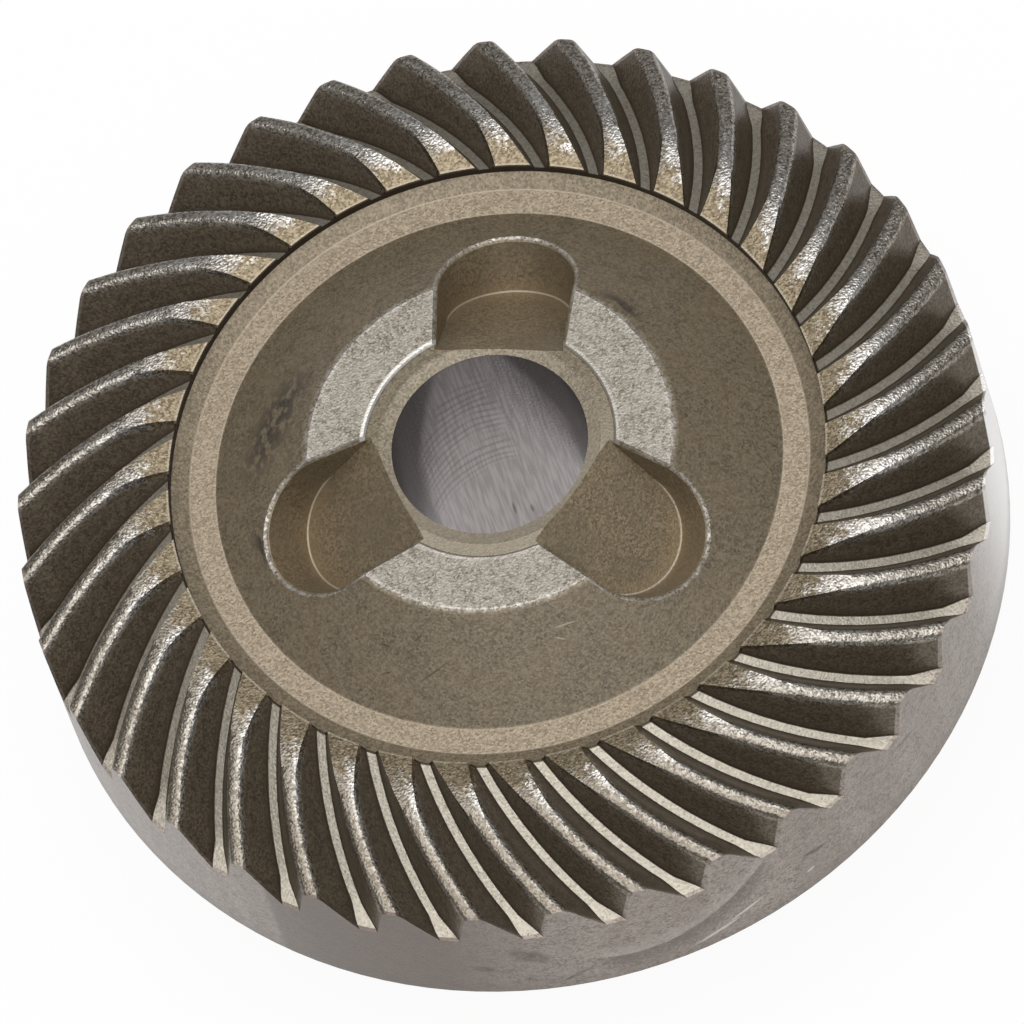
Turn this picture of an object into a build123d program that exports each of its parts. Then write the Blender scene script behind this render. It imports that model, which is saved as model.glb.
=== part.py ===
from build123d import *
import math
import os

os.makedirs("parts", exist_ok=True)

# Ring gear with curved teeth, standing on the end face of its rear boss.
# The origin is on the bore axis in that end face; +Z runs to the toothed side.
# Heights named "..._rise" are taken from the flat ring inside the teeth.

# Back, rim and bore
boss_length = 8.9
boss_radius = 9.5
boss_end_chamfer = 0.5
boss_root_chamfer = 0.6
bore_radius = 5.0
bore_end_chamfer = 0.3
rim_depth = 9.02
rim_radius_back = 24.88
rim_radius_front = 24.735
rim_back_chamfer = 0.2

# Hub on the toothed side
hub_rise = 3.09
bore_edge_rise = 2.82
collar_radius = 5.67
collar_rise = 2.98
island_foot_radius = 6.32
island_inner_radius = 6.46
island_outer_radius = 9.44
ring_inner_radius = 14.48
ring_outer_radius = 15.82

# Step between the ring and the teeth
step_radius = 16.7
step_rise = 0.37
toe_radius = 16.74
toe_rise = 1.0

# Face cone that carries the crests of the teeth
apex_radius = 19.25
apex_rounding = 7.5
face_radius = 18.98
face_rise = 1.38
face_angle = 16.64

# Gaps between the teeth
teeth = 37
root_radius = 16.80
root_rise = 0.565
root_angle = 24.98
root_half_width = 0.24
root_chamfer = 0.2
flank_angle = 27.2
gap_lean = 13.0
spiral_start = 171.85
spiral_rate = 1.9532
crest_rounding = 0.46
crest_facets = 2
crest_exit = 0.02
gap_clearance = 0.45
cut_start_radius = 15.9
cut_end_radius = 25.5
cut_sections = 7
heel_kink_radius = 23.55
heel_floor_angle = 12.0

# Three pockets in the hub
pockets = 3
pocket_bearing = 67.2
pocket_angle = 35.8
pocket_axis_radius = 7.91
pocket_axis_rise = 0.995
pocket_half_width = 3.21
pocket_end_radius = 10.45
pocket_draft = 7.0
pocket_cut_height = 6.0
pocket_lip_chamfer = 0.18
match_tolerance = 0.01

# Heights above the end face of the boss
ring_height = boss_length + rim_depth
pitch_angle = 360.0 / teeth
face_slope = math.tan(math.radians(face_angle))
root_slope = math.tan(math.radians(root_angle))
heel_slope = math.tan(math.radians(heel_floor_angle))
lean_out = math.sin(math.radians(gap_lean))
lean_up = math.cos(math.radians(gap_lean))


def face_height(radius):
    return ring_height + face_rise - face_slope * (radius - face_radius)


def root_height(radius):
    return ring_height + root_rise - root_slope * (radius - root_radius)


def blank():
    """Turned blank: boss, rim, face cone, ring, hub cone and bore."""
    points = [
        (bore_radius + bore_end_chamfer, 0.0),
        (boss_radius - boss_end_chamfer, 0.0),
        (boss_radius, boss_end_chamfer),
        (boss_radius, boss_length - boss_root_chamfer),
        (boss_radius + boss_root_chamfer, boss_length),
        (rim_radius_back - rim_back_chamfer, boss_length),
        (rim_radius_back, boss_length + rim_back_chamfer),
        (rim_radius_front, face_height(rim_radius_front)),
        (apex_radius, face_height(apex_radius)),
        (toe_radius, ring_height + toe_rise),
        (toe_radius, ring_height + step_rise),
        (step_radius, ring_height + step_rise),
        (ring_outer_radius, ring_height),
        (ring_inner_radius, ring_height),
        (island_outer_radius, ring_height + hub_rise),
        (island_inner_radius, ring_height + hub_rise),
        (island_foot_radius, ring_height + collar_rise),
        (collar_radius, ring_height + collar_rise),
        (bore_radius, ring_height + bore_edge_rise),
        (bore_radius, bore_end_chamfer),
    ]
    outline = Plane.XZ * Polyline(*points, close=True)
    profile = make_face(outline)
    apex = profile.vertices().sort_by_distance((apex_radius, 0, face_height(apex_radius)))[0]
    return revolve(fillet(apex, apex_rounding), Axis.Z)


def pocket(bearing):
    """Slot with a round outer end and a floor that falls away from the bore."""
    slope = math.radians(pocket_angle)
    fall = Vector(math.cos(slope), 0, -math.sin(slope))
    normal = Vector(math.sin(slope), 0, math.cos(slope))
    origin = Vector(pocket_axis_radius, 0, ring_height + pocket_axis_rise)
    floor_plane = Plane(origin=origin, x_dir=fall, z_dir=normal)
    end_run = (pocket_end_radius - pocket_axis_radius) / math.cos(slope)
    centre_run = end_run - pocket_half_width
    start_run = -pocket_axis_radius / math.cos(slope)
    strip = Pos((start_run + centre_run) / 2, 0) * Rectangle(centre_run - start_run, 2 * pocket_half_width)
    floor = strip + Pos(centre_run, 0) * Circle(pocket_half_width)
    cut = extrude(floor_plane * floor, pocket_cut_height, taper=-pocket_draft)
    return Rot(0, 0, bearing) * cut


def lip_edges(before, cuts, after):
    """Edges that the pockets leave on the island and the cone, and the island's outer edge."""
    top = ring_height + hub_rise
    level = after.edges().filter_by_position(Axis.Z, top - match_tolerance, top + match_tolerance)
    rim = [edge for edge in level.filter_by(GeomType.CIRCLE) if edge.radius > island_inner_radius + match_tolerance]
    lips = []
    for edge in new_edges(before, *cuts, combined=after):
        middle = edge @ 0.5
        if math.hypot(middle.X, middle.Y) > island_inner_radius + match_tolerance:
            lips.append(edge)
    return lips + rim


def gap_outline(radius):
    """Closed outline of one gap in its own plane: width by height above the root."""
    slant = math.radians(flank_angle)
    depth = (face_height(radius) - root_height(radius)) / (lean_up + face_slope * lean_out)
    corner = root_half_width + root_chamfer + math.tan(slant) * (depth - root_chamfer)
    sweep = math.pi / 2 - slant
    centre = corner + crest_rounding * math.tan(sweep / 2)
    side = [(root_half_width, 0.0), (root_half_width + root_chamfer, root_chamfer)]
    for i in range(crest_facets):
        turn = sweep * (1 - i / crest_facets)
        x = centre - crest_rounding * math.sin(turn)
        y = depth - crest_rounding * (1 - math.cos(turn))
        side.append((x, y))
    last_x, last_y = side[-1]
    run_out = (depth + crest_exit - last_y) / (depth - last_y) * (centre - last_x)
    side.append((last_x + run_out, depth + crest_exit))
    side.append((last_x + run_out, depth + gap_clearance))
    return side + [(-x, y) for x, y in reversed(side)]


def gap_section(radius):
    angle = math.radians(spiral_start + spiral_rate * (radius - root_radius))
    out = Vector(math.cos(angle), math.sin(angle), 0)
    tangent = Vector(-math.sin(angle), math.cos(angle), 0)
    up = out * lean_out + Vector(0, 0, lean_up)
    origin = out * radius + Vector(0, 0, root_height(radius))
    plane = Plane(origin=origin, x_dir=tangent, z_dir=tangent.cross(up))
    return plane * make_face(Polyline(*gap_outline(radius), close=True))


def gap():
    """One curved gap; its floor flattens near the rim."""
    step = (cut_end_radius - cut_start_radius) / (cut_sections - 1)
    cut = loft([gap_section(cut_start_radius + i * step) for i in range(cut_sections)])
    kink_height = root_height(heel_kink_radius)
    near = cut_start_radius
    far = cut_end_radius + 2
    shelf = Polyline(
        (near, kink_height + heel_slope * (heel_kink_radius - near)),
        (far, kink_height - heel_slope * (far - heel_kink_radius)),
        (far, kink_height - rim_depth),
        (near, kink_height - rim_depth),
        close=True,
    )
    return cut - revolve(make_face(Plane.XZ * shelf), Axis.Z)


turned = blank()
pocket_cuts = [pocket(pocket_bearing + i * 360.0 / pockets) for i in range(pockets)]
gear = turned - pocket_cuts
gear = chamfer(lip_edges(turned, pocket_cuts, gear), pocket_lip_chamfer)

one_gap = gap()
gear -= [Rot(0, 0, i * pitch_angle) * one_gap for i in range(teeth)]

solid = gear.solids()[0]
solid.label = "spiral_bevel_gear"
export_step(solid, "parts/spiral_bevel_gear.step")
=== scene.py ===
import math

import bpy
from mathutils import Matrix, Vector


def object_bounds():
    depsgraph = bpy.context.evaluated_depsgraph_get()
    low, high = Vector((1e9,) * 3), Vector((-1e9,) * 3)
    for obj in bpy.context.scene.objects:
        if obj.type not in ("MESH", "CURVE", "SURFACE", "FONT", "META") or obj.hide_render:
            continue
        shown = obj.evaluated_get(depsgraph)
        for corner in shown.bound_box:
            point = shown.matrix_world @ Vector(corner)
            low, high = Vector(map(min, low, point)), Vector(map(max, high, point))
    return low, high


MM = 0.001

# Sizes of the gear, in millimetres. Rises are taken from the flat ring inside the teeth.
BORE_RADIUS = 5.0
COLLAR_RADIUS = 5.67
ISLAND_FOOT_RADIUS = 6.32
ISLAND_INNER_RADIUS = 6.46
ISLAND_OUTER_RADIUS = 9.44
HUB_RISE = 3.09
RING_INNER_RADIUS = 14.48
RING_OUTER_RADIUS = 15.82
STEP_RADIUS = 16.7
TOE_RADIUS = 16.74
TOE_RISE = 1.0
TOE_SLOPE = 0.119
FACE_RADIUS = 18.98
FACE_RISE = 1.38
FACE_SLOPE = 0.2989
APEX_BLEND = 0.75
TEETH = 37
SPIRAL_START = math.radians(171.85)
SPIRAL_RATE = math.radians(1.9532)
GAP_WIDENING = 0.495
GAP_CORNER = 0.34
ROOT_RADIUS = 16.8
ROOT_RISE = 0.565
ROOT_SLOPE = 0.4658
HEEL_KINK_RADIUS = 23.55
HEEL_SLOPE = 0.2126
RIM_RADIUS = 24.6
RIM_MEAN_RADIUS = 24.8

POCKETS = 3
POCKET_BEARING = math.radians(67.2)
POCKET_ANGLE = math.radians(35.8)
POCKET_AXIS_RADIUS = 7.91
POCKET_AXIS_RISE = 0.995
POCKET_HALF_WIDTH = 3.21
POCKET_END_RADIUS = 10.45
POCKET_DRAFT = math.radians(7.0)

# Camera, set from the photograph: it looks at the middle of the flat ring
CAMERA_ELEVATION = 62.31
CAMERA_ROLL = -19.74
CAMERA_DISTANCE = 594.2
CAMERA_RIGHT_OFFSET = 0.677
CAMERA_UP_OFFSET = -2.183
LENS = 414.74
SENSOR = 36.0

# Studio
FLOOR_SIZE = 1.6
FLOOR_WHITE = 0.9
FLOOR_LIFT = 0.94
SKY_LOW = 0.3
SKY_HIGH = 2.3
SKY_TILT = 5.0
SKY_CORE = 20.0
SKY_EDGE = 46.0

# Marks seen in the photograph: places on the gear's plan, in millimetres
CONE_STAINS = (
    ((-6.5, 9.2), (-13.2, 2.4), 3.2),
    ((7.6, 6.5), (9.6, 3.4), 1.1),
    ((-12.2, 1.5), (-12.6, -2.0), 1.4),
    ((3.2, -9.8), (5.6, -9.4), 1.2),
)
CONE_SCRATCHES = (
    ((-7.61, -10.47), (-5.31, -10.19)),
    ((-8.6, -7.9), (-7.9, -8.5)),
    ((-7.0, -8.7), (-6.3, -8.6)),
    ((-9.0, -9.2), (-8.4, -9.4)),
)
# Glints are painted highlights
CONE_GLINTS = (
    ((-0.28, -10.72), (1.22, -10.74)),
    ((-0.29, -11.06), (0.41, -11.4)),
)
SCRATCH_WIDTH = 0.11
GLINT_WIDTH = 0.09
# Bearing towards which the painted highlight on the islands' inner edges is brightest
ISLAND_HIGHLIGHT_BEARING = math.radians(127.0)

# Streaks in the cone's stains: pattern units for each millimetre outwards and each radian round
STREAKS_OUTWARD = 2.4
STREAKS_AROUND = 14.0

# Radii between which the pockets' finish, and that of their lips, is laid
POCKET_FINISH_START = 5.03
POCKET_FINISH_END = 13.4
LIP_START = 7.2
LIP_END = 13.3

# Crests: burnished past the first pair of radii; a painted silvery highlight until the second pair on the
# side towards the light, and painted shade on the other side
BURNISH_START = (17.7, 18.9)
SILVER_HIGHLIGHT_END = (22.5, 20.0)
CREST_LIGHT_BEARING = math.radians(45.0)

# Bore: turning marks between two rises, and a lit strip that widens downwards, with painted shade on either
# side of it.
# Its small marks are at an arc length, from one rise to another.
TURNING_PITCH = 0.62
TURNING_WOBBLE = 5.0
TURNED_LOW = -9.0
TURNED_HIGH = 0.5
TURNED_START = (math.radians(72.0), math.radians(84.0))
BORE_LIT_ANGLE = math.radians(86.0)
BORE_LIT_WIDTH = 0.61
BORE_LIT_SPREAD = -0.094
BORE_LIT_MOST = 0.9
BORE_MARK_WIDTH = 0.22
BORE_MARKS = (
    (7.77, -15.0, -13.2),
    (6.89, -15.2, -14.0),
)

# The rim's marks are by arc length and rise
# Painted shade on the rim towards one bearing, up to a sharp end, and a nearly white painted reflection
# towards another
RIM_PAINTED_SHADE_ANGLE = math.radians(-125.0)
RIM_PAINTED_SHADE_END = -59.3
RIM_PAINTED_LIGHT_ANGLE = math.radians(-12.0)
# A curved painted reflection line on the rim: its middle, rise, bend and ends
RIM_REFLECTION_MIDDLE = -40.2
RIM_REFLECTION_RISE = -6.73
RIM_REFLECTION_CURVE = 0.0705
RIM_REFLECTION_START = -42.5
RIM_REFLECTION_END = -33.2
RIM_DARK_MARKS = (
    ((-45.0, -8.4), (-42.5, -6.8), 0.35),
    ((-49.0, -6.0), (-47.5, -6.3), 0.8),
    ((-46.4, -7.4), (-45.8, -7.6), 0.6),
    ((-47.0, -3.9), (-44.6, -5.9), 1.5),
    ((-31.4, -5.3), (-29.4, -5.8), 0.5),
    ((-24.4, -3.6), (-22.6, -4.0), 0.45),
)
RIM_LIGHT_MARKS = (
    ((-34.7, -7.2), (-38.1, -8.2), 0.3),
    ((-36.0, -7.4), (-33.4, -6.5), 0.25),
    ((-31.2, -7.1), (-30.6, -7.0), 0.25),
)

# Shading of shallow edges, as angles between faces
HUB_SOFT_ANGLE = math.radians(12.0)
TOOTH_SOFT_ANGLE = math.radians(36.0)
MERGE_DISTANCE = 1e-6

# Linear colours of stains and marks, and of painted highlights, painted shade and painted reflections
TINTS = {
    "skin_worn": (0.235, 0.195, 0.138),
    "skin_light": (0.214, 0.173, 0.113),
    "skin_pore": (0.045, 0.036, 0.024),
    "cone_stain": (0.028, 0.024, 0.02),
    "cone_scratch": (0.035, 0.028, 0.018),
    "cone_glint": (0.40, 0.36, 0.30),
    "ring_outer_painted_highlight": (0.42, 0.36, 0.27),
    "ring_inner_painted_highlight": (0.40, 0.34, 0.25),
    "island_pale": (0.40, 0.375, 0.33),
    "collar_painted_light": (0.44, 0.385, 0.30),
    "pocket_dull": (0.165, 0.135, 0.088),
    "pocket_painted_glow": (0.31, 0.23, 0.13),
    "flank_painted_shade": (0.065, 0.048, 0.032),
    "crest_painted_shade": (0.15, 0.125, 0.092),
    "gap_corner_painted_shade": (0.045, 0.032, 0.02),
    "gap_pore": (0.08, 0.06, 0.04),
    "gap_toe_painted_shadow": (0.045, 0.033, 0.022),
    "bore_groove": (0.10, 0.085, 0.08),
    "bore_painted_shade": (0.085, 0.073, 0.07),
    "bore_mark": (0.05, 0.043, 0.042),
    "rim_pale": (0.37, 0.325, 0.285),
    "rim_brown": (0.20, 0.160, 0.130),
    "rim_painted_shade": (0.125, 0.096, 0.078),
    "rim_painted_light": (0.92, 0.90, 0.88),
    "rim_painted_reflection_edge": (0.46, 0.42, 0.385),
    "rim_painted_reflection": (0.085, 0.060, 0.045),
    "rim_foot": (0.13, 0.105, 0.09),
    "rim_dark_mark": (0.07, 0.05, 0.038),
    "rim_light_mark": (0.62, 0.58, 0.54),
}

# Finishes: the two linear colours that a pattern mixes, metallic share and roughness
FINISHES = {
    "skin": ((0.119, 0.087, 0.051), (0.090, 0.070, 0.044), 0.25, 0.42),
    "step": ((0.140, 0.111, 0.072), (0.285, 0.230, 0.157), 0.35, 0.42),
    "ring": ((0.200, 0.158, 0.106), (0.385, 0.315, 0.228), 0.5, 0.38),
    "island": ((0.135, 0.115, 0.087), (0.385, 0.350, 0.300), 0.65, 0.34),
    "collar": ((0.105, 0.084, 0.054), (0.218, 0.178, 0.121), 0.40, 0.36),
    "bevel": ((0.140, 0.115, 0.078), (0.285, 0.242, 0.176), 0.35, 0.38),
    "pocket": ((0.145, 0.108, 0.064), (0.290, 0.228, 0.147), 0.45, 0.36),
    "flank": ((0.064, 0.049, 0.033), (0.158, 0.126, 0.088), 0.3, 0.42),
    "patch": ((0.110, 0.084, 0.052), (0.310, 0.255, 0.176), 0.92, 0.34),
    "crest": ((0.115, 0.098, 0.078), (0.470, 0.435, 0.385), 0.92, 0.32),
    "silver_highlight": ((0.22, 0.205, 0.185), (0.74, 0.715, 0.68), 0.95, 0.27),
    "gap_floor": ((0.30, 0.270, 0.220), (0.42, 0.385, 0.325), 0.75, 0.36),
    "bore": ((0.285, 0.257, 0.25), (0.39, 0.354, 0.347), 0.9, 0.33),
    "rim": ((0.140, 0.113, 0.094), (0.365, 0.312, 0.270), 0.6, 0.34),
}

# Worn edges, and edges with a painted highlight: linear colour, metallic share and roughness
EDGES = {
    "island_outer_wear_and_highlight": ((0.60, 0.58, 0.54), 0.85, 0.28),
    "island_inner_painted_highlight": ((0.72, 0.70, 0.66), 0.9, 0.3),
    "pocket_seam_painted_highlight": ((0.60, 0.55, 0.46), 0.7, 0.33),
    "pocket_lip": ((0.60, 0.575, 0.53), 0.85, 0.32),
    "toe_highlight": ((0.40, 0.35, 0.27), 0.7, 0.35),
}

# Pattern scales, in features for each millimetre
FINE_SCALE = 9.0
GRAIN_SCALE = 9.2
MIDDLE_SCALE = 1.6
BROAD_SCALE = 0.4

# Relief of the burnished crests, in millimetres, and the share of it elsewhere
RELIEF = 0.027
RELIEF_PLAIN = 0.42


class Nodes:
    """Adds nodes to one tree and links them."""

    def __init__(self, tree):
        self.tree = tree
        self.tree.nodes.clear()

    def add(self, kind, **settings):
        node = self.tree.nodes.new(kind)
        for name, value in settings.items():
            setattr(node, name, value)
        return node

    def feed(self, socket, value):
        if isinstance(value, bpy.types.NodeSocket):
            self.tree.links.new(value, socket)
        else:
            socket.default_value = value

    def math(self, operation, a, b=0.0, c=0.0):
        node = self.add("ShaderNodeMath", operation=operation)
        for socket, value in zip(node.inputs, (a, b, c)):
            self.feed(socket, value)
        return node.outputs[0]

    def times(self, first, *others):
        for other in others:
            first = self.math("MULTIPLY", first, other)
        return first

    def line(self, x, slope, offset):
        return self.math("MULTIPLY_ADD", x, slope, offset)

    def ramp(self, value, low, high):
        """0 below low, 1 above high and smooth between them; it falls where high is under low."""
        node = self.add("ShaderNodeMapRange", interpolation_type="SMOOTHSTEP")
        self.feed(node.inputs["Value"], value)
        node.inputs["From Min"].default_value = low
        node.inputs["From Max"].default_value = high
        return node.outputs["Result"]

    def band(self, value, low, high, soft):
        """1 between low and high, with soft edges."""
        rising = self.ramp(value, low - soft, low + soft)
        return self.times(rising, self.ramp(value, high + soft, high - soft))

    def wrapped(self, angle, copies):
        """The angle from the nearest of equally spaced directions, the first at 0."""
        half = math.pi / copies
        return self.math("WRAP", angle, half, -half)

    def stroke(self, plane, start, end, width, core=0.4):
        """A long thin mark on a plane vector, full inside its core and fading out at its edge."""
        node = self.add("ShaderNodeMapping", vector_type="TEXTURE")
        self.feed(node.inputs["Vector"], plane)
        node.inputs["Location"].default_value = ((start[0] + end[0]) / 2, (start[1] + end[1]) / 2, 0.0)
        node.inputs["Rotation"].default_value = (0.0, 0.0, math.atan2(end[1] - start[1], end[0] - start[0]))
        node.inputs["Scale"].default_value = (math.dist(start, end) / 2, width / 2, 1.0)
        return self.ramp(self.vector("LENGTH", node.outputs[0]), 1.0, core)

    def vector(self, operation, a, b=None, scale=None):
        node = self.add("ShaderNodeVectorMath", operation=operation)
        self.feed(node.inputs[0], a)
        if b is not None:
            self.feed(node.inputs[1], b)
        if scale is not None:
            self.feed(node.inputs["Scale"], scale)
        return node.outputs["Value" if operation in ("DOT_PRODUCT", "LENGTH", "DISTANCE") else "Vector"]

    def join(self, x, y, z):
        node = self.add("ShaderNodeCombineXYZ")
        for socket, value in zip(node.inputs, (x, y, z)):
            self.feed(socket, value)
        return node.outputs[0]

    def colour(self, factor, a, b):
        node = self.add("ShaderNodeMix", data_type="RGBA")
        self.feed(node.inputs[0], factor)
        for socket, value in zip(node.inputs[6:8], (a, b)):
            self.feed(socket, (*value, 1.0) if isinstance(value, tuple) else value)
        return node.outputs[2]

    def finish(self, name, pattern):
        """Colour, metallic share and roughness of a finish; the pattern mixes its two colours."""
        first, second, metal, rough = FINISHES[name]
        return self.colour(pattern, first, second), metal, rough

    def blend(self, factor, a, b):
        node = self.add("ShaderNodeMix", data_type="FLOAT")
        self.feed(node.inputs[0], factor)
        self.feed(node.inputs[2], a)
        self.feed(node.inputs[3], b)
        return node.outputs[0]

    def noise(self, vector, scale, detail=0.0, roughness=0.6, dimensions="3D"):
        node = self.add("ShaderNodeTexNoise", noise_dimensions=dimensions)
        self.feed(node.inputs["Vector"], vector)
        node.inputs["Scale"].default_value = scale
        node.inputs["Detail"].default_value = detail
        node.inputs["Roughness"].default_value = roughness
        return node.outputs["Fac"]

    def cells(self, vector, scale):
        """Two random values for each grain of a closely packed granular pattern."""
        node = self.add("ShaderNodeTexVoronoi")
        self.feed(node.inputs["Vector"], vector)
        node.inputs["Scale"].default_value = scale
        split = self.add("ShaderNodeSeparateXYZ")
        self.feed(split.inputs[0], node.outputs["Color"])
        return split.outputs["X"], split.outputs["Y"]


class Place:
    """Where a point of the gear is, in millimetres, as node sockets."""

    def __init__(self, nodes, ring_height):
        coordinate = nodes.add("ShaderNodeTexCoord")
        self.point = nodes.vector("SCALE", coordinate.outputs["Object"], scale=1.0 / MM)
        split = nodes.add("ShaderNodeSeparateXYZ")
        nodes.feed(split.inputs[0], self.point)
        x, y = split.outputs["X"], split.outputs["Y"]
        self.flat = nodes.join(x, y, 0.0)
        self.radius = nodes.vector("LENGTH", self.flat)
        self.rise = nodes.math("SUBTRACT", split.outputs["Z"], ring_height)
        self.angle = nodes.math("ARCTAN2", y, x)

    def unrolled(self, nodes, radius):
        """The wall of a cylinder laid flat: arc length by rise."""
        return nodes.join(nodes.times(self.angle, radius), self.rise, 0.0)


class Pocket:
    """Where a point is in the frame of its nearest hub pocket."""

    def __init__(self, nodes, place):
        turn = nodes.wrapped(nodes.line(place.angle, 1.0, -POCKET_BEARING), POCKETS)
        out = nodes.line(nodes.times(place.radius, nodes.math("COSINE", turn)), 1.0, -POCKET_AXIS_RADIUS)
        up = nodes.line(place.rise, 1.0, -POCKET_AXIS_RISE)
        side = nodes.times(place.radius, nodes.math("SINE", turn))
        sine, cosine = math.sin(POCKET_ANGLE), math.cos(POCKET_ANGLE)
        self.height = nodes.math("ADD", nodes.times(out, sine), nodes.times(up, cosine))
        run = nodes.math("SUBTRACT", nodes.times(out, cosine), nodes.times(up, sine))
        straight = (POCKET_END_RADIUS - POCKET_AXIS_RADIUS) / cosine - POCKET_HALF_WIDTH
        self.past = nodes.line(run, 1.0, -straight)
        reach = nodes.vector("LENGTH", nodes.join(nodes.math("MAXIMUM", self.past, 0.0), side, 0.0))
        wall = nodes.line(self.height, math.tan(POCKET_DRAFT), POCKET_HALF_WIDTH)
        self.outside = nodes.math("SUBTRACT", reach, wall)


class Tooth:
    """Where a point is among the teeth: across is -1 and 1 at the two edges of a crest."""

    def __init__(self, nodes, place):
        radius = place.radius
        face = nodes.line(radius, -FACE_SLOPE, FACE_RISE + FACE_SLOPE * FACE_RADIUS)
        toe = nodes.line(radius, TOE_SLOPE, TOE_RISE - TOE_SLOPE * TOE_RADIUS)
        crest = nodes.math("SMOOTH_MIN", face, toe, APEX_BLEND)
        root = nodes.line(radius, -ROOT_SLOPE, ROOT_RISE + ROOT_SLOPE * ROOT_RADIUS)
        kink_rise = ROOT_RISE - ROOT_SLOPE * (HEEL_KINK_RADIUS - ROOT_RADIUS)
        heel = nodes.line(radius, -HEEL_SLOPE, kink_rise + HEEL_SLOPE * HEEL_KINK_RADIUS)
        self.below_crest = nodes.math("SUBTRACT", crest, place.rise)
        self.above_floor = nodes.math("SUBTRACT", place.rise, nodes.math("MAXIMUM", root, heel))
        self.zone = nodes.ramp(radius, TOE_RADIUS - 0.02, TOE_RADIUS + 0.02)
        spiral = nodes.line(radius, SPIRAL_RATE, SPIRAL_START - SPIRAL_RATE * ROOT_RADIUS + math.pi / TEETH)
        turn = nodes.wrapped(nodes.math("SUBTRACT", place.angle, spiral), TEETH)
        pitch = nodes.times(radius, math.pi / TEETH)
        corner = nodes.line(nodes.math("SUBTRACT", face, root), GAP_WIDENING, GAP_CORNER)
        half_width = nodes.math("MAXIMUM", nodes.math("SUBTRACT", pitch, corner), 0.3)
        self.across = nodes.math("DIVIDE", nodes.times(turn, radius), half_width)


class Finish:
    """A stack of finishes: each one covers those before it where its mask is 1."""

    def __init__(self, nodes, colour, metal, rough):
        self.nodes = nodes
        self.colour = colour
        self.metal = metal
        self.rough = rough
        self.relief = RELIEF_PLAIN

    def cover(self, mask, colour, metal, rough):
        self.colour = self.nodes.colour(mask, self.colour, colour)
        self.metal = self.nodes.blend(mask, self.metal, metal)
        self.rough = self.nodes.blend(mask, self.rough, rough)

    # Lays a colour over the finish: real stains and marks, and also painted highlights, painted shade and
    # painted glow
    def stain_and_painted_light(self, mask, colour):
        self.colour = self.nodes.colour(mask, self.colour, colour)

    def roughen(self, mask):
        """Strengthens the relief where the mask is 1."""
        self.relief = self.nodes.blend(mask, self.relief, 1.0)

    def material_output(self, height):
        nodes = self.nodes
        bump = nodes.add("ShaderNodeBump")
        bump.inputs["Distance"].default_value = RELIEF * MM
        nodes.feed(bump.inputs["Strength"], self.relief)
        nodes.feed(bump.inputs["Height"], height)
        shader = nodes.add("ShaderNodeBsdfPrincipled")
        nodes.feed(shader.inputs["Base Color"], self.colour)
        nodes.feed(shader.inputs["Metallic"], self.metal)
        nodes.feed(shader.inputs["Roughness"], self.rough)
        nodes.feed(shader.inputs["Normal"], bump.outputs[0])
        out = nodes.add("ShaderNodeOutputMaterial")
        nodes.feed(out.inputs["Surface"], shader.outputs[0])


def new_material(name):
    material = bpy.data.materials.new(name)
    material.use_nodes = True
    return material, Nodes(material.node_tree)


class Grain:
    """Noise patterns that the finishes share, from fine to broad."""

    def __init__(self, nodes, place):
        self.fine = nodes.noise(place.point, FINE_SCALE)
        self.speck, self.second = nodes.cells(place.point, GRAIN_SCALE)
        self.broad = nodes.ramp(nodes.noise(place.flat, BROAD_SCALE, 1.0, dimensions="2D"), 0.38, 0.62)
        self.middle = nodes.ramp(nodes.noise(place.point, MIDDLE_SCALE, 1.0), 0.36, 0.64)
        self.pores = nodes.ramp(self.second, 0.92, 0.99)


def add_cone_marks(nodes, gear, place, grain):
    """Stains, scratches and glints, which are painted highlights, on the hub cone."""
    outward = nodes.times(place.radius, STREAKS_OUTWARD)
    streaks = nodes.join(outward, nodes.times(place.angle, STREAKS_AROUND), 0.0)
    streaks = nodes.ramp(nodes.noise(streaks, 1.1, 1.0, dimensions="2D"), 0.36, 0.56)
    streaks = nodes.times(streaks, nodes.line(grain.speck, 0.6, 0.4))
    for start, end, width in CONE_STAINS:
        mark = nodes.stroke(place.flat, start, end, width, 0.2)
        gear.stain_and_painted_light(nodes.times(mark, streaks), TINTS["cone_stain"])
    for start, end in CONE_SCRATCHES:
        mark = nodes.stroke(place.flat, start, end, SCRATCH_WIDTH)
        gear.stain_and_painted_light(nodes.times(mark, 0.65), TINTS["cone_scratch"])
    # Painted highlights: glints on the cone
    for start, end in CONE_GLINTS:
        mark = nodes.stroke(place.flat, start, end, GLINT_WIDTH)
        gear.stain_and_painted_light(nodes.times(mark, 0.6), TINTS["cone_glint"])


def add_ring(nodes, gear, place, grain):
    """Flat ring, with a painted highlight line at each edge, and the step outside it."""
    radius = place.radius
    step = nodes.ramp(radius, RING_OUTER_RADIUS - 0.02, RING_OUTER_RADIUS + 0.02)
    gear.cover(step, *nodes.finish("step", grain.speck))
    ring = nodes.times(
        nodes.ramp(radius, RING_INNER_RADIUS - 0.12, RING_INNER_RADIUS + 0.04),
        nodes.ramp(radius, RING_OUTER_RADIUS + 0.03, RING_OUTER_RADIUS - 0.03),
    )
    gear.cover(ring, *nodes.finish("ring", grain.speck))
    # Painted highlights: thin light lines along the ring's outer and inner edges
    ring_outer_highlight = nodes.band(radius, RING_OUTER_RADIUS - 0.03, RING_OUTER_RADIUS + 0.05, 0.03)
    gear.stain_and_painted_light(nodes.times(ring_outer_highlight, 0.6), TINTS["ring_outer_painted_highlight"])
    ring_inner_highlight = nodes.band(radius, RING_INNER_RADIUS - 0.03, RING_INNER_RADIUS + 0.06, 0.04)
    gear.stain_and_painted_light(nodes.times(ring_inner_highlight, 0.45), TINTS["ring_inner_painted_highlight"])


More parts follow.
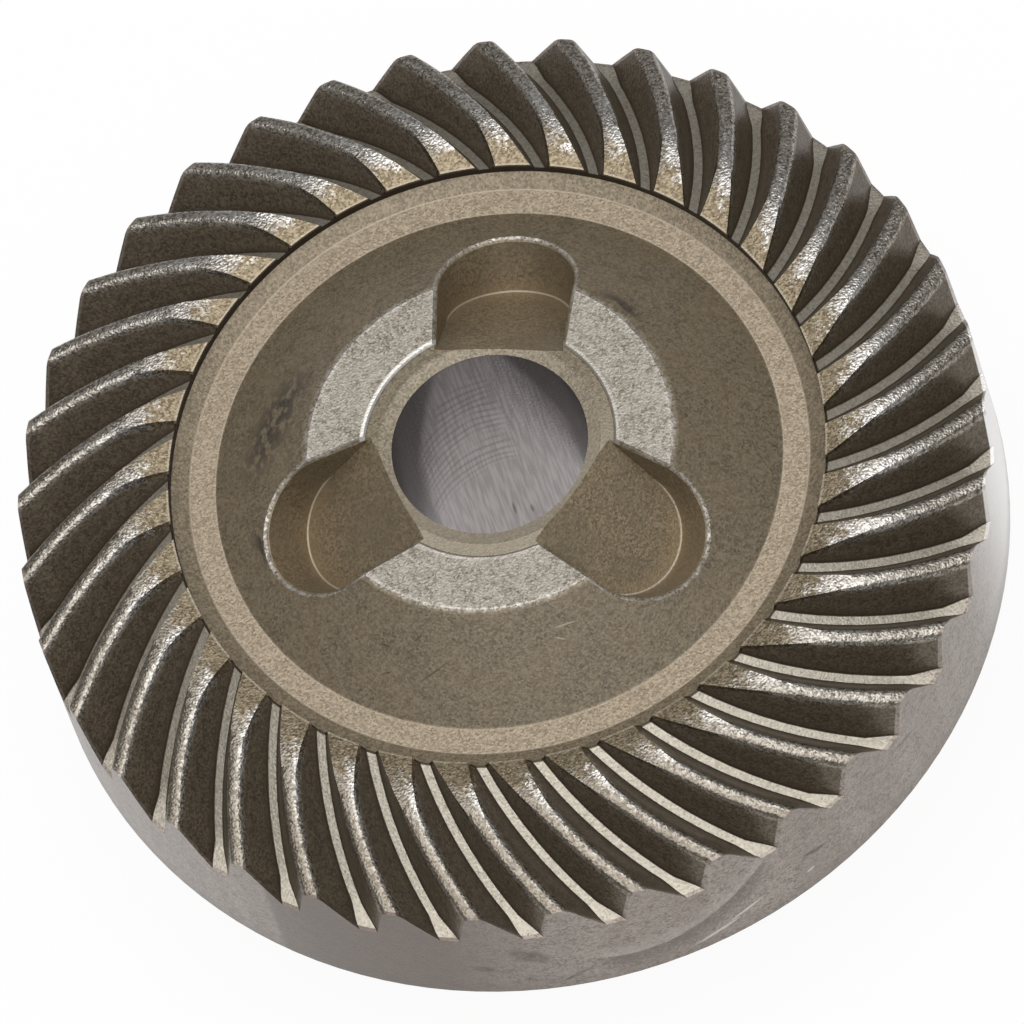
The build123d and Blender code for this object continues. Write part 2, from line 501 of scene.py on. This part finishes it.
def add_islands(nodes, gear, place, grain, worn):
    """Pale tops of the hub, with an outer edge that is worn and carries a painted highlight, and an inner
    edge with a painted highlight brightest towards one bearing.
    """
    radius, rise = place.radius, place.rise
    island = nodes.times(
        nodes.band(radius, ISLAND_INNER_RADIUS, ISLAND_OUTER_RADIUS - 0.1, 0.04),
        nodes.ramp(rise, HUB_RISE - 0.1, HUB_RISE - 0.03),
    )
    grey, metal, rough = nodes.finish("island", grain.speck)
    grey = nodes.colour(nodes.times(grain.middle, 0.35), grey, TINTS["island_pale"])
    gear.cover(island, grey, metal, rough)
    # Outer edge: worn where the grain says so, and lighter there as a painted highlight
    outer_edge_wear_and_highlight = nodes.band(radius, ISLAND_OUTER_RADIUS - 0.3, ISLAND_OUTER_RADIUS + 0.02, 0.1)
    outer_edge_wear_and_highlight = nodes.times(outer_edge_wear_and_highlight, nodes.ramp(rise, HUB_RISE - 0.24, HUB_RISE - 0.19), worn)
    gear.cover(nodes.times(outer_edge_wear_and_highlight, 0.5), *EDGES["island_outer_wear_and_highlight"])
    # Inner edge: a painted highlight, brightest towards one bearing
    inner_edge_highlight = nodes.band(radius, ISLAND_FOOT_RADIUS + 0.05, ISLAND_INNER_RADIUS + 0.16, 0.06)
    from_bright = nodes.math("ABSOLUTE", nodes.wrapped(nodes.line(place.angle, 1.0, -ISLAND_HIGHLIGHT_BEARING), 1))
    bright = nodes.line(nodes.ramp(from_bright, 0.7, 0.5), 0.65, 0.25)
    inner_edge_highlight = nodes.times(inner_edge_highlight, nodes.ramp(rise, HUB_RISE - 0.19, HUB_RISE - 0.14), bright)
    gear.cover(inner_edge_highlight, *EDGES["island_inner_painted_highlight"])


def add_collar(nodes, gear, place, grain):
    """Collar and bevel round the bore, with painted light making the near side lighter."""
    radius = place.radius
    collar = nodes.times(
        nodes.ramp(radius, ISLAND_FOOT_RADIUS + 0.04, ISLAND_FOOT_RADIUS),
        nodes.ramp(place.rise, 2.7, 2.8),
    )
    gear.cover(collar, *nodes.finish("collar", grain.speck))
    bevel = nodes.times(collar, nodes.ramp(radius, COLLAR_RADIUS + 0.1, COLLAR_RADIUS - 0.15))
    gear.cover(bevel, *nodes.finish("bevel", grain.speck))
    # Painted light: the collar is lighter on the near side
    near = nodes.ramp(nodes.math("SINE", place.angle), 0.5, -0.7)
    gear.stain_and_painted_light(nodes.times(collar, near, 0.4), TINTS["collar_painted_light"])


def add_pockets(nodes, gear, place, grain, worn):
    """Golden walls and floors, a painted golden glow low at their far end, a thin painted highlight line
    between walls and floors, and worn lips.
    """
    radius = place.radius
    pocket = Pocket(nodes, place)
    inside = nodes.times(
        nodes.ramp(pocket.outside, 0.03, 0.015),
        nodes.ramp(pocket.height, -0.03, -0.01),
        nodes.ramp(radius, POCKET_FINISH_START, POCKET_FINISH_START + 0.03),
        nodes.ramp(radius, POCKET_FINISH_END, POCKET_FINISH_END - 0.2),
    )
    gold, metal, rough = nodes.finish("pocket", grain.speck)
    gold = nodes.colour(nodes.times(grain.broad, 0.4), gold, TINTS["pocket_dull"])
    gear.cover(inside, gold, metal, rough)
    foot = nodes.times(inside, nodes.ramp(pocket.past, -0.4, 0.6))
    # Painted light: a golden glow low on the walls at the pocket's far end
    glow = nodes.times(nodes.ramp(pocket.height, 0.9, 0.1), nodes.ramp(pocket.outside, -1.1, -0.2))
    gear.stain_and_painted_light(nodes.times(foot, glow, 0.38), TINTS["pocket_painted_glow"])
    # Painted highlight: a thin light line where the walls meet the floor
    seam_highlight = nodes.times(nodes.ramp(pocket.height, 0.08, 0.05), nodes.ramp(pocket.outside, -0.09, -0.05))
    gear.cover(nodes.times(foot, seam_highlight, 0.8), *EDGES["pocket_seam_painted_highlight"])
    lip = nodes.times(
        nodes.band(pocket.outside, 0.07, 0.19, 0.055),
        nodes.ramp(pocket.past, -2.2, -1.0),
        nodes.ramp(radius, LIP_START, LIP_START + 0.4),
        nodes.ramp(radius, LIP_END, LIP_END - 0.2),
        nodes.ramp(place.rise, 0.2, 0.3),
    )
    gear.cover(nodes.times(lip, nodes.line(worn, 1.1, 0.04)), *EDGES["pocket_lip"])


def add_hub(nodes, gear, place, grain):
    """Everything inside the teeth but the bore."""
    add_cone_marks(nodes, gear, place, grain)
    add_ring(nodes, gear, place, grain)
    worn = nodes.times(grain.speck, nodes.line(grain.middle, 0.6, 0.4))
    add_islands(nodes, gear, place, grain, worn)
    add_collar(nodes, gear, place, grain)
    add_pockets(nodes, gear, place, grain, worn)


def add_crests(nodes, gear, place, grain, tooth, flank):
    """Toe patches with a painted highlight along the toe edge, then crests that are burnished most just
    past the apex, with a painted highlight on the side towards the light and painted shade on the other.
    """
    radius = place.radius
    upper = nodes.times(flank, nodes.ramp(tooth.below_crest, 0.42, 0.10))
    gear.cover(upper, *nodes.finish("patch", grain.speck))
    # Painted highlight: a light line along the patches' toe edge
    toe_highlight = nodes.times(upper, nodes.band(radius, TOE_RADIUS - 0.05, TOE_RADIUS + 0.1, 0.03))
    gear.cover(nodes.times(toe_highlight, 0.6), *EDGES["toe_highlight"])
    ragged = nodes.line(grain.middle, 0.8, nodes.line(grain.speck, 0.6, -0.7))
    burnished = nodes.times(upper, nodes.ramp(nodes.math("ADD", radius, ragged), *BURNISH_START))
    gear.cover(burnished, *nodes.finish("crest", grain.speck))
    gear.roughen(burnished)
    # Painted highlight on the crests' side towards the light, painted shade on the other side
    lit_side = nodes.math("SINE", nodes.line(place.angle, 1.0, CREST_LIGHT_BEARING))
    to_light = nodes.times(tooth.across, lit_side)
    silver_highlight = nodes.times(burnished, nodes.ramp(radius, *SILVER_HIGHLIGHT_END), nodes.ramp(to_light, 0.5, -0.75))
    gear.cover(silver_highlight, *nodes.finish("silver_highlight", grain.speck))
    shaded = nodes.times(burnished, nodes.ramp(to_light, 0.1, 1.0), 0.6)
    gear.stain_and_painted_light(shaded, TINTS["crest_painted_shade"])


def add_gap_floors(nodes, gear, place, grain, tooth, flank):
    """Pale floors of the gaps, with painted shade as a dark line along each side and a painted shadow round
    the toe end.
    """
    radius = place.radius
    # Painted shade: a dark line low along each side of the gap
    low = nodes.times(flank, nodes.ramp(tooth.above_floor, 0.16, 0.1))
    gear.stain_and_painted_light(nodes.times(low, 0.75), TINTS["gap_corner_painted_shade"])
    floor = nodes.times(flank, nodes.ramp(tooth.above_floor, 0.035, 0.015))
    gear.cover(floor, *nodes.finish("gap_floor", grain.speck))
    gear.stain_and_painted_light(nodes.times(floor, grain.pores, 0.4), TINTS["gap_pore"])
    # Painted shadow: a dark line round the floor's toe end, under the step
    toe_shadow = nodes.times(
        nodes.ramp(tooth.below_crest, 0.1, 0.2),
        nodes.ramp(radius, TOE_RADIUS + 0.14, TOE_RADIUS + 0.08),
        nodes.ramp(radius, STEP_RADIUS - 0.01, STEP_RADIUS + 0.02),
    )
    gear.stain_and_painted_light(toe_shadow, TINTS["gap_toe_painted_shadow"])


def add_teeth(nodes, gear, place, grain):
    """Flanks, browner than the hub and darkened low down by painted shade, then the crests and the gaps'
    floors.
    """
    tooth = Tooth(nodes, place)
    flank = nodes.times(tooth.zone, nodes.ramp(place.radius, RIM_RADIUS + 0.1, RIM_RADIUS + 0.05))
    gear.cover(flank, *nodes.finish("flank", grain.speck))
    # Painted shade: the flanks darken towards the gaps' floors
    gear.stain_and_painted_light(nodes.times(flank, nodes.ramp(tooth.above_floor, 0.6, 0.1), 0.6), TINTS["flank_painted_shade"])
    add_crests(nodes, gear, place, grain, tooth, flank)
    add_gap_floors(nodes, gear, place, grain, tooth, flank)


def add_bore(nodes, gear, place):
    """Machined bore: turning marks above, axial streaks below and painted shade at the sides."""
    bore = nodes.times(
        nodes.ramp(place.radius, BORE_RADIUS + 0.06, BORE_RADIUS + 0.02),
        nodes.ramp(place.rise, 2.8, 2.7),
    )
    wall = place.unrolled(nodes, BORE_RADIUS)
    streaks = nodes.noise(nodes.vector("MULTIPLY", wall, (6.0, 0.35, 1.0)), 1.0, 1.0, dimensions="2D")
    grey, metal, rough = nodes.finish("bore", nodes.ramp(streaks, 0.3, 0.7))
    wobble = nodes.noise(wall, 0.45, dimensions="2D")
    phase = nodes.line(place.rise, 2 * math.pi / TURNING_PITCH, nodes.times(wobble, TURNING_WOBBLE))
    turning = nodes.ramp(nodes.math("SINE", phase), -0.9, 0.2)
    turned = nodes.band(place.rise, TURNED_LOW, TURNED_HIGH, 1.5)
    turned = nodes.times(turned, nodes.ramp(place.angle, *TURNED_START))
    grooves = nodes.times(turned, nodes.line(turning, -1.0, 1.0), nodes.ramp(wobble, 0.25, 0.5))
    grey = nodes.colour(nodes.times(grooves, 0.36), grey, TINTS["bore_groove"])
    # Painted shade on the bore's sides, outside a lit strip that widens downwards
    side = nodes.math("ABSOLUTE", nodes.line(place.angle, 1.0, -BORE_LIT_ANGLE))
    width = nodes.math("MINIMUM", nodes.line(place.rise, BORE_LIT_SPREAD, BORE_LIT_WIDTH), BORE_LIT_MOST)
    shade = nodes.ramp(nodes.math("SUBTRACT", side, width), -0.08, 0.1)
    grey = nodes.colour(nodes.times(shade, 0.72), grey, TINTS["bore_painted_shade"])
    for x, low, high in BORE_MARKS:
        mark = nodes.stroke(wall, (x, low), (x, high), BORE_MARK_WIDTH)
        grey = nodes.colour(nodes.times(mark, 0.6), grey, TINTS["bore_mark"])
    gear.cover(bore, grey, metal, rough)


def rim_shades(nodes, place, grain, grey, run):
    """The rim's grey, with painted shade at the left that has a sharp end, and a nearly white painted
    reflection at the right.
    """
    grey = nodes.colour(nodes.times(grain.middle, 0.35), grey, TINTS["rim_pale"])
    grey = nodes.colour(nodes.times(grain.broad, 0.25), grey, TINTS["rim_brown"])
    # Painted shade and painted reflection, set by bearing round the rim
    from_painted_shade = nodes.math("ABSOLUTE", nodes.wrapped(nodes.line(place.angle, 1.0, -RIM_PAINTED_SHADE_ANGLE), 1))
    end = nodes.ramp(run, RIM_PAINTED_SHADE_END - 0.25, RIM_PAINTED_SHADE_END + 0.25)
    dark = nodes.times(nodes.ramp(from_painted_shade, 0.5, 0.1), end, 0.85)
    grey = nodes.colour(dark, grey, TINTS["rim_painted_shade"])
    from_painted_light = nodes.math("ABSOLUTE", nodes.wrapped(nodes.line(place.angle, 1.0, -RIM_PAINTED_LIGHT_ANGLE), 1))
    light = nodes.times(nodes.ramp(from_painted_light, 0.47, 0.05), 0.95)
    return nodes.colour(light, grey, TINTS["rim_painted_light"])


def rim_painted_reflection(nodes, place, grain, grey, run):
    """A curved painted reflection line, dark below a light upper edge, and the darker foot of the rim."""
    # Painted reflection: a dark curved band with a light upper edge
    across = nodes.line(run, 1.0, -RIM_REFLECTION_MIDDLE)
    curve = nodes.line(nodes.times(across, across), RIM_REFLECTION_CURVE, RIM_REFLECTION_RISE)
    above = nodes.math("SUBTRACT", place.rise, curve)
    span = nodes.band(run, RIM_REFLECTION_START, RIM_REFLECTION_END, 0.8)
    edge = nodes.times(span, nodes.ramp(above, 1.4, 0.2), nodes.ramp(above, 0.0, 0.15), 0.35)
    grey = nodes.colour(edge, grey, TINTS["rim_painted_reflection_edge"])
    under = nodes.times(span, nodes.ramp(above, 0.06, -0.05), nodes.ramp(above, -1.9, -0.3))
    under = nodes.times(under, nodes.line(grain.middle, 0.25, 0.4))
    grey = nodes.colour(under, grey, TINTS["rim_painted_reflection"])
    foot = nodes.times(nodes.ramp(place.rise, -7.2, -8.7), 0.35)
    return nodes.colour(foot, grey, TINTS["rim_foot"])


def add_rim(nodes, gear, place, grain):
    """Turned rim, with painted shade and reflections, and the stains and scratches that the photo shows."""
    rim = nodes.ramp(place.radius, RIM_RADIUS - 0.02, RIM_RADIUS + 0.02)
    wall = place.unrolled(nodes, RIM_MEAN_RADIUS)
    split = nodes.add("ShaderNodeSeparateXYZ")
    nodes.feed(split.inputs[0], wall)
    run = split.outputs["X"]
    grey, metal, rough = nodes.finish("rim", grain.speck)
    grey = rim_shades(nodes, place, grain, grey, run)
    grey = rim_painted_reflection(nodes, place, grain, grey, run)
    for start, end, width in RIM_DARK_MARKS:
        mark = nodes.times(nodes.stroke(wall, start, end, width), nodes.line(grain.middle, 0.4, 0.4))
        grey = nodes.colour(mark, grey, TINTS["rim_dark_mark"])
    for start, end, width in RIM_LIGHT_MARKS:
        mark = nodes.times(nodes.stroke(wall, start, end, width), 0.8)
        grey = nodes.colour(mark, grey, TINTS["rim_light_mark"])
    gear.cover(rim, grey, metal, rough)


def gear_steel(ring_height):
    """Brown skin left by pressing and sintering, with the finish of each zone over it."""
    material, nodes = new_material("sintered_steel")
    place = Place(nodes, ring_height)
    grain = Grain(nodes, place)
    skin, metal, rough = nodes.finish("skin", grain.broad)
    skin = nodes.colour(nodes.times(grain.speck, 0.95), skin, TINTS["skin_light"])
    skin = nodes.colour(nodes.times(grain.middle, grain.second, 0.30), skin, TINTS["skin_worn"])
    skin = nodes.colour(nodes.times(grain.pores, 0.45), skin, TINTS["skin_pore"])
    gear = Finish(nodes, skin, metal, rough)
    add_hub(nodes, gear, place, grain)
    add_teeth(nodes, gear, place, grain)
    add_bore(nodes, gear, place)
    add_rim(nodes, gear, place, grain)
    gear.material_output(grain.fine)
    return material


def add_soft_shading(node):
    """Shades the shallow edges smoothly; every vertex stays where it is."""
    tree = bpy.data.node_groups.new("soft_shading", "GeometryNodeTree")
    nodes = Nodes(tree)
    for side in ("INPUT", "OUTPUT"):
        tree.interface.new_socket("Geometry", in_out=side, socket_type="NodeSocketGeometry")
    source = nodes.add("NodeGroupInput")
    result = nodes.add("NodeGroupOutput")
    merged = nodes.add("GeometryNodeMergeByDistance")
    merged.inputs["Distance"].default_value = MERGE_DISTANCE
    faces = nodes.add("GeometryNodeSetShadeSmooth", domain="FACE")
    edges = nodes.add("GeometryNodeSetShadeSmooth", domain="EDGE")
    flat = nodes.vector("MULTIPLY", nodes.add("GeometryNodeInputPosition").outputs[0], (1.0, 1.0, 0.0))
    outside = nodes.math("GREATER_THAN", nodes.vector("LENGTH", flat), TOE_RADIUS * MM)
    limit = nodes.line(outside, TOOTH_SOFT_ANGLE - HUB_SOFT_ANGLE, HUB_SOFT_ANGLE)
    bend = nodes.add("GeometryNodeInputMeshEdgeAngle").outputs["Unsigned Angle"]
    nodes.feed(edges.inputs["Shade Smooth"], nodes.math("LESS_THAN", bend, limit))
    nodes.feed(merged.inputs["Geometry"], source.outputs[0])
    nodes.feed(faces.inputs["Geometry"], merged.outputs[0])
    nodes.feed(edges.inputs["Geometry"], faces.outputs[0])
    nodes.feed(result.inputs[0], edges.outputs[0])
    node.modifiers.new("soft_shading", "NODES").node_group = tree


def add_camera(ring_height):
    elevation = math.radians(CAMERA_ELEVATION)
    roll = math.radians(CAMERA_ROLL)
    back = Vector((0.0, -math.cos(elevation), math.sin(elevation)))
    level_right = Vector((1.0, 0.0, 0.0))
    level_up = back.cross(level_right)
    right = level_right * math.cos(roll) + level_up * math.sin(roll)
    up = level_up * math.cos(roll) - level_right * math.sin(roll)
    middle = Vector((0.0, 0.0, ring_height))
    place = middle + right * CAMERA_RIGHT_OFFSET + up * CAMERA_UP_OFFSET + back * CAMERA_DISTANCE
    data = bpy.data.cameras.new("photo_camera")
    data.lens = LENS
    data.sensor_width = SENSOR
    data.clip_start = 0.01
    data.clip_end = 10.0
    camera = bpy.data.objects.new("photo_camera", data)
    turn = Matrix((right, up, back)).transposed().to_4x4()
    camera.matrix_world = Matrix.Translation(place * MM) @ turn
    bpy.context.scene.collection.objects.link(camera)
    bpy.context.scene.camera = camera


def add_floor():
    bpy.ops.mesh.primitive_plane_add(size=FLOOR_SIZE)
    floor = bpy.context.object
    floor.name = "studio_floor"
    material, nodes = new_material("floor_white")
    paper = nodes.add("ShaderNodeBsdfDiffuse")
    paper.inputs["Color"].default_value = (FLOOR_WHITE, FLOOR_WHITE, FLOOR_WHITE, 1)
    glow = nodes.add("ShaderNodeEmission")
    glow.inputs["Color"].default_value = (1, 1, 1, 1)
    rays = nodes.add("ShaderNodeLightPath")
    seen = nodes.math("MAXIMUM", rays.outputs["Is Camera Ray"], rays.outputs["Is Glossy Ray"])
    seen = nodes.math("MAXIMUM", seen, rays.outputs["Is Transmission Ray"])
    mix = nodes.add("ShaderNodeMixShader")
    nodes.feed(mix.inputs[0], nodes.times(seen, FLOOR_LIFT))
    nodes.feed(mix.inputs[1], paper.outputs[0])
    nodes.feed(mix.inputs[2], glow.outputs[0])
    out = nodes.add("ShaderNodeOutputMaterial")
    nodes.feed(out.inputs["Surface"], mix.outputs[0])
    floor.data.materials.append(material)


def add_sky():
    """A broad soft light overhead, leaning to the camera's side, over a dim horizon."""
    world = bpy.data.worlds.new("studio_sky")
    bpy.context.scene.world = world
    world.use_nodes = True
    nodes = Nodes(world.node_tree)
    direction = nodes.vector("NORMALIZE", nodes.add("ShaderNodeTexCoord").outputs["Generated"])
    tilt = math.radians(SKY_TILT)
    middle = (0.0, -math.sin(tilt), math.cos(tilt))
    closeness = nodes.vector("DOT_PRODUCT", direction, middle)
    lamp = nodes.ramp(closeness, math.cos(math.radians(SKY_EDGE)), math.cos(math.radians(SKY_CORE)))
    back = nodes.add("ShaderNodeBackground")
    nodes.feed(back.inputs["Strength"], nodes.line(lamp, SKY_HIGH, SKY_LOW))
    back.inputs["Color"].default_value = (1, 1, 1, 1)
    out = nodes.add("ShaderNodeOutputWorld")
    nodes.feed(out.inputs["Surface"], back.outputs[0])


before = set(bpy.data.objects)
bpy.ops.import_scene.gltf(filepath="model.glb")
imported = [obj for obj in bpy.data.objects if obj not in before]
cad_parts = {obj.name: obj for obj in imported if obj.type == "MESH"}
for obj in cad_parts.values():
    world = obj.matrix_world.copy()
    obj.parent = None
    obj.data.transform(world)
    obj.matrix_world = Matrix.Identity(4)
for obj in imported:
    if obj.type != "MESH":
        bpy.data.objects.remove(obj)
cad_box = [list(corner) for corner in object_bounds()]
ring_height = cad_box[1][2] / MM - HUB_RISE

gear_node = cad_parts["spiral_bevel_gear"]
gear_node.data.materials.clear()
gear_node.data.materials.append(gear_steel(ring_height))
add_soft_shading(gear_node)

add_camera(ring_height)
add_floor()
add_sky()
bpy.context.scene.view_settings.view_transform = "Standard"
